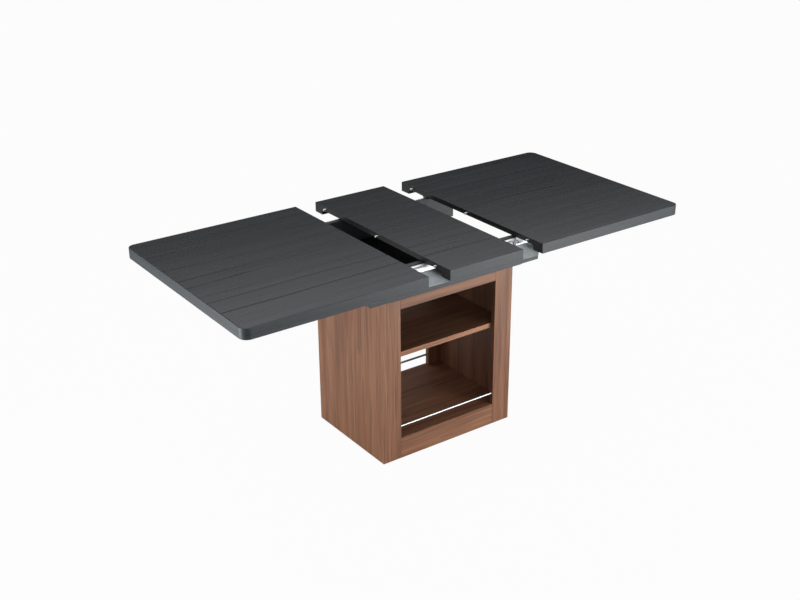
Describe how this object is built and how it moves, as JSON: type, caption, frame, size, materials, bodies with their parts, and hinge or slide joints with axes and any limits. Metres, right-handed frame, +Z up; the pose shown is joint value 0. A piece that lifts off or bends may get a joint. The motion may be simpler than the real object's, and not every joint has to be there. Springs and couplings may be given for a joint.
{
  "type": "extending dining table",
  "caption": "Extending dining table: black grained leaves slide apart over an open walnut cabinet base to take a loose centre leaf, with metal guard rods across the lower opening.",
  "frame": {"origin": "on the floor under the middle of the table", "axes": "+X along the table towards the right leaf, +Y to the rear, +Z up"},
  "size_m": [1.768, 0.8, 0.76],
  "materials": {
    "walnut": "satin walnut veneer",
    "black_ash": "black open-grain veneer",
    "black_edge": "smooth dark grey edging",
    "dark_board": "matt black board",
    "zinc": "zinc plated",
    "steel": "bright",
    "rubber": "matt"
  },
  "bodies": {
    "base": {"left_side_panel": "walnut", "right_side_panel": "walnut", "front_left_stile": "walnut", "front_right_stile": "walnut", "rear_left_stile": "walnut", "rear_right_stile": "walnut", "front_top_rail": "walnut", "front_bottom_rail": "walnut", "rear_top_rail": "walnut", "rear_bottom_rail": "walnut", "cabinet_floor": "walnut", "shelf": "walnut", "front_guard_rod": "steel", "rear_guard_rod": "steel", "left_front_shelf_pin": "steel", "left_rear_shelf_pin": "steel", "right_front_shelf_pin": "steel", "right_rear_shelf_pin": "steel", "top_panel": "dark_board", "front_support_rail": "black_edge", "rear_support_rail": "black_edge", "front_slide_channel": "zinc", "rear_slide_channel": "zinc", "front_leaf_pad": "rubber", "rear_leaf_pad": "rubber"},
    "left_leaf": {"left_leaf_board": "black_ash", "left_leaf_front_lip": "black_edge", "left_leaf_rear_lip": "black_edge", "left_leaf_end_lip": "black_edge", "front_edge_plate": "black_edge", "left_front_slide_bar": "zinc", "left_front_slide_angle": "zinc", "left_rear_slide_bar": "zinc", "left_rear_slide_angle": "zinc", "left_front_slide_inner_screw": "steel", "left_front_slide_outer_screw": "steel", "left_rear_slide_inner_screw": "steel", "left_rear_slide_outer_screw": "steel"},
    "right_leaf": {"right_leaf_board": "black_ash", "right_leaf_front_lip": "black_edge", "right_leaf_rear_lip": "black_edge", "right_leaf_end_lip": "black_edge", "right_front_slide_bar": "zinc", "right_front_slide_angle": "zinc", "right_rear_slide_bar": "zinc", "right_rear_slide_angle": "zinc", "right_front_slide_inner_screw": "steel", "right_front_slide_outer_screw": "steel", "right_rear_slide_inner_screw": "steel", "right_rear_slide_outer_screw": "steel", "right_leaf_front_pin": "steel", "right_leaf_middle_pin": "steel", "right_leaf_rear_pin": "steel"},
    "centre_leaf": {"centre_leaf_board": "black_ash", "centre_leaf_front_lip": "black_edge", "centre_leaf_rear_lip": "black_edge", "centre_leaf_front_pin": "steel", "centre_leaf_middle_pin": "steel", "centre_leaf_rear_pin": "steel"}
  },
  "joints": [
    {"name": "left_leaf_slide", "type": "slide", "parent": "base", "child": "left_leaf", "axis": [1, 0, 0], "range_m": [0, 0.0835]},
    {"name": "right_leaf_slide", "type": "slide", "parent": "base", "child": "right_leaf", "axis": [-1, 0, 0], "range_m": [0, 0.0835]},
    {"name": "centre_leaf_lift", "type": "slide", "parent": "base", "child": "centre_leaf", "axis": [0, 0, 1], "range_m": [0, 0.12]}
  ]
}
